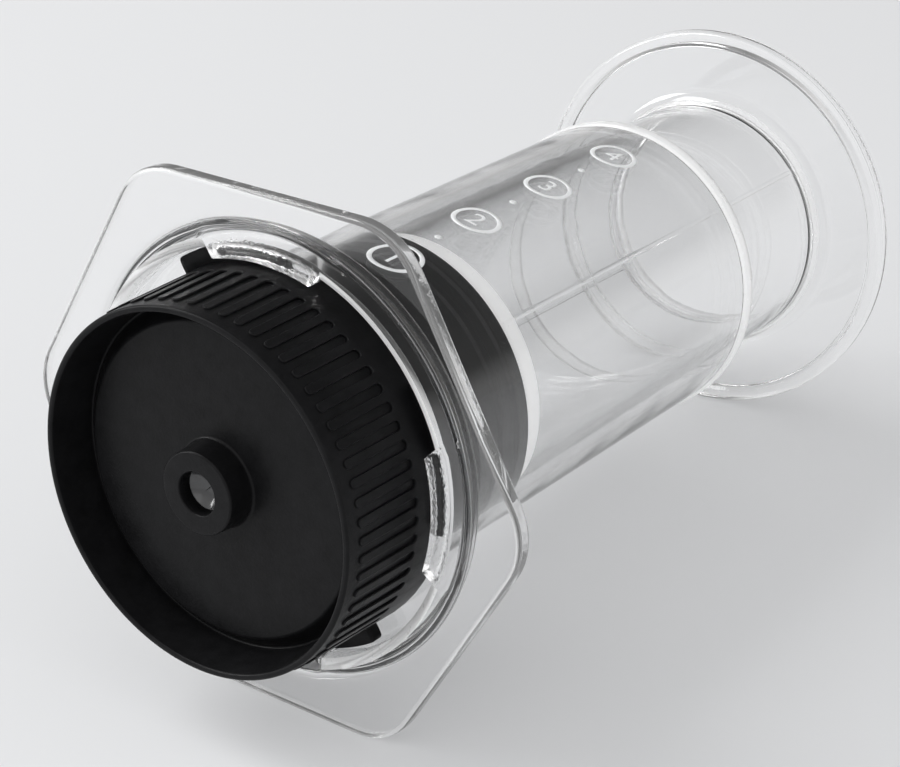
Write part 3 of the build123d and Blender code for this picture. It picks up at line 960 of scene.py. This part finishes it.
class PRESS_OT_cap(bpy.types.Operator):
    """Make the black filter cap with its nozzle, grip ribs and ears"""

    bl_idname = "press.cap"
    bl_label = "Filter cap"

    def execute(self, context):
        scene = context.scene
        at, sizes = layout(scene), scene.press_cap
        skirt = sizes.rim_radius - sizes.skirt_wall
        gutter = skirt - sizes.skirt_taper
        shoulder = gutter - sizes.floor_shoulder
        inner = at.cap_radius - sizes.rear_wall
        seat = at.cap_radius - sizes.plate_wall
        rounding = sizes.shoulder_round
        bm = turned(
            [
                (sizes.nozzle_bore, sizes.nozzle_setback, rounding * 0.25),
                (sizes.nozzle_radius, sizes.nozzle_setback, rounding * 0.45),
                (sizes.nozzle_radius + sizes.nozzle_growth, sizes.floor_depth, rounding * 0.6),
                (shoulder, sizes.floor_depth, rounding),
                (gutter, sizes.gutter_depth, rounding / 2),
                (skirt, 0, sizes.rim_round),
                (sizes.rim_radius, 0, sizes.rim_round),
                (at.cap_radius, at.cap_rear, 0),
                (seat, at.cap_rear, 0),
                (seat, at.plate_front, 0),
                (inner, at.plate_front, 0),
                (inner, sizes.gutter_depth + sizes.floor_thickness, rounding),
                (shoulder - sizes.floor_thickness / 2, at.floor_rear, rounding),
                (sizes.pocket_radius, at.floor_rear, 0),
                (sizes.pocket_radius, at.bore_end, 0),
                (sizes.nozzle_bore, at.bore_end, 0),
            ]
        )
        add_mesh(bm, self.grip(at, sizes))
        for middle in QUARTERS:
            add_mesh(bm, self.ear(at, sizes, sizes.ear_turn + middle))
        for index in range(FINS):
            add_mesh(bm, self.fin(at, sizes, inner, (index + 0.5) * 2 * pi / FINS))
        add_piece(bm, "filter_cap_body", "cap_plastic", "cap", ("filter_cap",))
        return {"FINISHED"}

    @staticmethod
    def grip(at, sizes):
        """Make the grip around the cap, from one flat rib with half a slot on each side."""
        radius = sizes.rim_radius
        pitch = 2 * pi * radius / sizes.rib_count
        half, rib, top = pitch / 2, sizes.rib_width / 2, sizes.rib_root
        slot = half - rib
        corners = [
            (-half, at.cap_rear, 0),
            (-half, at.slot_end, 0),
            (-rib, at.slot_end, slot),
            (-rib, sizes.rib_start, rib),
            (rib, sizes.rib_start, rib),
            (rib, at.slot_end, slot),
            (half, at.slot_end, 0),
            (half, at.cap_rear, 0),
        ]
        bm = bmesh.new()
        points = chain(bm, [(across, along, 0) for across, along, _ in corners])
        for point, (_, _, rounding) in zip(points, corners):
            if rounding:
                round_corner(bm, point, rounding * 0.97, 5)
        bmesh.ops.contextual_create(bm, geom=bm.edges[:])
        made = bmesh.ops.extrude_face_region(bm, geom=bm.faces[:], use_keep_orig=True)["geom"]
        bmesh.ops.translate(bm, vec=(0, 0, top), verts=verts_of(made))
        sides = [
            face
            for face in bm.faces
            if abs(abs(face.calc_center_median().x) - half) < MM / 1000
        ]
        bmesh.ops.delete(bm, geom=sides, context="FACES_ONLY")
        rim = [
            edge
            for edge in bm.edges
            if all(v.co.z > top / 2 for v in edge.verts)
            and len(edge.link_faces) == 2
            and max(v.co.y for v in edge.verts) < at.slot_end + 10 * NEAR
        ]
        bevel(bm, rim, sizes.rib_bevel, 3)
        tile = bm.verts[:] + bm.edges[:] + bm.faces[:]
        for index in range(1, sizes.rib_count):
            copy = bmesh.ops.duplicate(bm, geom=tile)["geom"]
            bmesh.ops.translate(bm, vec=(pitch * index, 0, 0), verts=verts_of(copy))
        slope = (at.grip_rear - at.grip_front) / (at.cap_rear - sizes.rib_start)
        for vert in bm.verts:
            across, along, up = vert.co
            reach = at.grip_front + slope * (along - sizes.rib_start) + up - top
            around = sizes.grip_turn + (across + half) / radius
            vert.co = (reach * cos(around), reach * sin(around), along)
        weld(bm, MM / 200)
        return bm

    @staticmethod
    def ear(at, sizes, middle):
        """Make one ear: a piece of a ring with rounded corners."""
        root = at.cap_radius - sizes.fin_thickness
        bm = bmesh.new()
        place = Matrix.Rotation(middle - sizes.ear_spread / 2, 4, "Z")
        points = [
            bm.verts.new(place @ Vector(corner))
            for corner in (
                (root, 0, at.ear_front),
                (at.ear_radius, 0, at.ear_front),
                (at.ear_radius, 0, at.cap_rear),
                (root, 0, at.cap_rear),
            )
        ]
        face = bm.faces.new(points)
        spin(bm, [face, *face.edges, *face.verts], sizes.ear_spread, 28)
        ends = [
            edge
            for edge in bm.edges
            if abs(edge.verts[0].co.z - edge.verts[1].co.z) > MM
            and min(map(radius_of, edge.verts)) > at.ear_radius - NEAR
            and apart(angle_of(edge.verts[0].co), middle) > sizes.ear_spread / 2 - 0.001
        ]
        bevel(bm, ends, sizes.ear_round, 4)
        rim = [
            edge
            for edge in bm.edges
            if len(edge.link_faces) == 2
            and edge.calc_face_angle(0) > SHARP
            and min(map(radius_of, edge.verts)) > at.cap_radius
        ]
        bevel(bm, rim, sizes.ear_round / 4, 2)
        return bm

    @staticmethod
    def fin(at, sizes, inner, around):
        """Make one inner rib behind the floor."""
        start = sizes.nozzle_radius + sizes.fin_thickness
        end = inner + sizes.fin_thickness
        front = sizes.gutter_depth + sizes.floor_thickness / 2
        bm = bmesh.new()
        middle = Vector(((start + end) / 2, 0, (front + at.plate_front) / 2))
        reach = Matrix.Diagonal((end - start, sizes.fin_thickness, at.plate_front - front, 1))
        place = Matrix.Rotation(around, 4, "Z") @ Matrix.Translation(middle) @ reach
        bmesh.ops.create_cube(bm, size=1, matrix=place)
        bevel(bm, bm.edges[:], sizes.fin_thickness / 8, 2)
        return bm


class PRESS_OT_scale(bpy.types.Operator):
    """Make the printed scale: plain numerals in rings, with dots between them"""

    bl_idname = "press.scale"
    bl_label = "Printed scale"

    def execute(self, context):
        scene = context.scene
        at, sizes = layout(scene), scene.press_scale
        bm = bmesh.new()
        for index in range(sizes.count):
            station = sizes.first + index * sizes.pitch
            place = Matrix.Translation((0, station, 0))
            made = []
            for radius in (sizes.ring_radius, sizes.ring_radius - sizes.ring_stroke):
                circle = bmesh.ops.create_circle(
                    bm, cap_ends=False, segments=64, radius=radius, matrix=place
                )
                made += {edge for vert in circle["verts"] for edge in vert.link_edges}
            bmesh.ops.bridge_loops(bm, edges=made)
            add_mesh(bm, self.numeral(str(index + 1), sizes, station))
            if index:
                place = Matrix.Translation((0, station - sizes.pitch / 2, 0))
                bmesh.ops.create_circle(
                    bm, cap_ends=True, segments=24, radius=sizes.dot_radius, matrix=place
                )
        cuts = 24
        for index in range(1, cuts):
            bmesh.ops.bisect_plane(
                bm,
                geom=bm.verts[:] + bm.edges[:] + bm.faces[:],
                dist=HAIR,
                plane_co=(sizes.ring_radius * (2 * index / cuts - 1), 0, 0),
                plane_no=(1, 0, 0),
            )
        weld(bm, MM / 1000)
        face_outwards(bm)
        made = bmesh.ops.extrude_face_region(bm, geom=bm.faces[:], use_keep_orig=True)["geom"]
        bmesh.ops.translate(bm, vec=(0, 0, sizes.ink), verts=verts_of(made))
        for vert in bm.verts:
            across, along, up = vert.co
            reach = tube_surface(at, along)
            around = sizes.around + across / reach
            reach += up - sizes.ink / 3
            vert.co = (reach * cos(around), reach * sin(around), along)
        add_piece(bm, "scale_print", "printed_ink", "chamber")
        return {"FINISHED"}

    @staticmethod
    def numeral(text, sizes, station):
        """Make one flat numeral, centred on its ring."""
        curve = bpy.data.curves.new("numeral", "FONT")
        curve.body = text
        curve.resolution_u = 8
        lettering = bpy.data.objects.new("numeral", curve)
        mesh = bpy.data.meshes.new_from_object(lettering)
        bpy.data.objects.remove(lettering)
        bpy.data.curves.remove(curve)
        bm = bmesh.new()
        bm.from_mesh(mesh)
        bpy.data.meshes.remove(mesh)
        weld(bm, NEAR)
        low = Vector((min(v.co.x for v in bm.verts), min(v.co.y for v in bm.verts), 0))
        high = Vector((max(v.co.x for v in bm.verts), max(v.co.y for v in bm.verts), 0))
        scale = sizes.numeral_height / (high.y - low.y)
        bmesh.ops.translate(bm, vec=(low + high) / -2, verts=bm.verts[:])
        bmesh.ops.scale(bm, vec=(scale, scale, scale), verts=bm.verts[:])
        bmesh.ops.translate(bm, vec=(0, station, 0), verts=bm.verts[:])
        return bm


class PRESS_OT_filter_set(bpy.types.Operator):
    """Finish the filter plate, the paper filter, the outlet valve and its retainer"""

    bl_idname = "press.filter_set"
    bl_label = "Filter plate, paper and valve"

    def execute(self, context):
        finishes = {
            "filter_plate": "plate_plastic",
            "valve_retainer": "plate_plastic",
            "paper_filter": "filter_paper",
            "outlet_valve": "silicone",
        }
        for node, material in finishes.items():
            piece = frame["nodes"][node]
            piece.data.materials.clear()
            piece.data.materials.append(material_named(material))
        return {"FINISHED"}


class PRESS_OT_stage(bpy.types.Operator):
    """Make the floor, the soft studio light and the camera"""

    bl_idname = "press.stage"
    bl_label = "Stage"

    def execute(self, context):
        scene = context.scene
        stage = scene.press_stage
        bm = bmesh.new()
        place = Matrix.Translation((0, 0, -0.05 * MM))
        bmesh.ops.create_circle(
            bm, cap_ends=True, segments=128, radius=stage.floor_radius, matrix=place
        )
        if bm.faces[:][0].normal.z < 0:
            bmesh.ops.reverse_faces(bm, faces=bm.faces[:])
        mesh = bpy.data.meshes.new("floor")
        bm.to_mesh(mesh)
        bm.free()
        mesh.materials.append(material_named("studio_floor"))
        floor = bpy.data.objects.new("floor", mesh)
        scene.collection.objects.link(floor)
        self.light_world(scene, stage)
        for name, (place, width, power) in LIGHTS.items():
            self.add_softbox(name, place, width, power)
        camera = bpy.data.cameras.new("camera")
        camera.lens = stage.lens
        camera.sensor_width = 36
        camera.clip_start = 0.01
        viewpoint = bpy.data.objects.new("camera", camera)
        turned_to = Matrix.Rotation(stage.azimuth, 4, "Z")
        turned_to @= Matrix.Rotation(pi / 2 - stage.elevation, 4, "X")
        turned_to @= Matrix.Rotation(stage.roll, 4, "Z")
        viewpoint.matrix_world = Matrix.Translation(stage.place) @ turned_to
        scene.collection.objects.link(viewpoint)
        scene.camera = viewpoint
        scene.view_settings.view_transform = "Standard"
        scene.cycles.max_bounces = scene.cycles.transmission_bounces = BOUNCES
        return {"FINISHED"}

    @staticmethod
    def light_world(scene, stage):
        """Light the scene from all sides but one, where a dark wall stands behind the press."""
        world = bpy.data.worlds.new("studio")
        finish = Finish(world)
        direction = finish.add("TexCoord").outputs["Generated"]
        wall = tuple(Vector(stage.dark_side).normalized())
        dot = {"operation": "DOT_PRODUCT"}
        facing = finish.number("VectorMath", dot, {0: direction, 1: wall}, "Value")
        height = finish.number("SeparateXYZ", {}, {"Vector": direction}, "Z")
        side = finish.ramp(facing, (0.0, 0.0), (0.35, 0.0), (0.65, 0.8), (1.0, 0.92))
        band = finish.ramp(height, (0.0, 0.0), (0.04, 0.08), (0.24, 1.0), (0.8, 1.0), (1.0, 0.6))
        light = finish.ramp(height, (0.0, 0.68), (0.5, 1.0)) * (1 - side * band)
        sky = {"Color": light, "Strength": stage.sky_light}
        background = finish.add("Background", {}, sky)
        finish.add("OutputWorld", {}, {"Surface": background.outputs[0]})
        scene.world = world

    @staticmethod
    def add_softbox(name, place, width, power):
        """Add a square area light that faces the press."""
        light = bpy.data.lights.new(name, "AREA")
        light.size = width
        light.energy = power
        lamp = bpy.data.objects.new(name, light)
        aim = (AIM - Vector(place)).to_track_quat("-Z", "Y")
        lamp.matrix_world = Matrix.Translation(place) @ aim.to_matrix().to_4x4()
        bpy.context.scene.collection.objects.link(lamp)


class PRESS_PT_sidebar(bpy.types.Panel):
    """List the steps that make the press"""

    bl_label = "Coffee press"
    bl_idname = "PRESS_PT_sidebar"
    bl_space_type = "VIEW_3D"
    bl_region_type = "UI"
    bl_category = "Coffee press"

    def draw(self, context):
        for operator in OPERATORS:
            self.layout.operator(operator.bl_idname)


GROUPS = {
    "press_cap": CapSizes,
    "press_chamber": ChamberSizes,
    "press_plunger": PlungerSizes,
    "press_scale": ScaleSizes,
    "press_colours": PressColours,
    "press_stage": StageSizes,
}
OPERATORS = (
    PRESS_OT_chamber,
    PRESS_OT_plunger,
    PRESS_OT_seal,
    PRESS_OT_cap,
    PRESS_OT_scale,
    PRESS_OT_filter_set,
    PRESS_OT_stage,
)


def register():
    """Register the sizes, the operators and the panel."""
    for name, group in GROUPS.items():
        bpy.utils.register_class(group)
        setattr(bpy.types.Scene, name, bpy.props.PointerProperty(type=group))
    for operator in OPERATORS:
        bpy.utils.register_class(operator)
    bpy.utils.register_class(PRESS_PT_sidebar)


def unregister():
    """Remove the panel, the operators and the sizes."""
    bpy.utils.unregister_class(PRESS_PT_sidebar)
    for operator in reversed(OPERATORS):
        bpy.utils.unregister_class(operator)
    for name, group in reversed(GROUPS.items()):
        delattr(bpy.types.Scene, name)
        bpy.utils.unregister_class(group)


def main():
    """Make the press and its stage."""
    register()
    bpy.ops.press.chamber()
    bpy.ops.press.plunger()
    bpy.ops.press.seal()
    bpy.ops.press.cap()
    bpy.ops.press.scale()
    bpy.ops.press.filter_set()
    bpy.ops.press.stage()


if __name__ == "__main__":
    main()
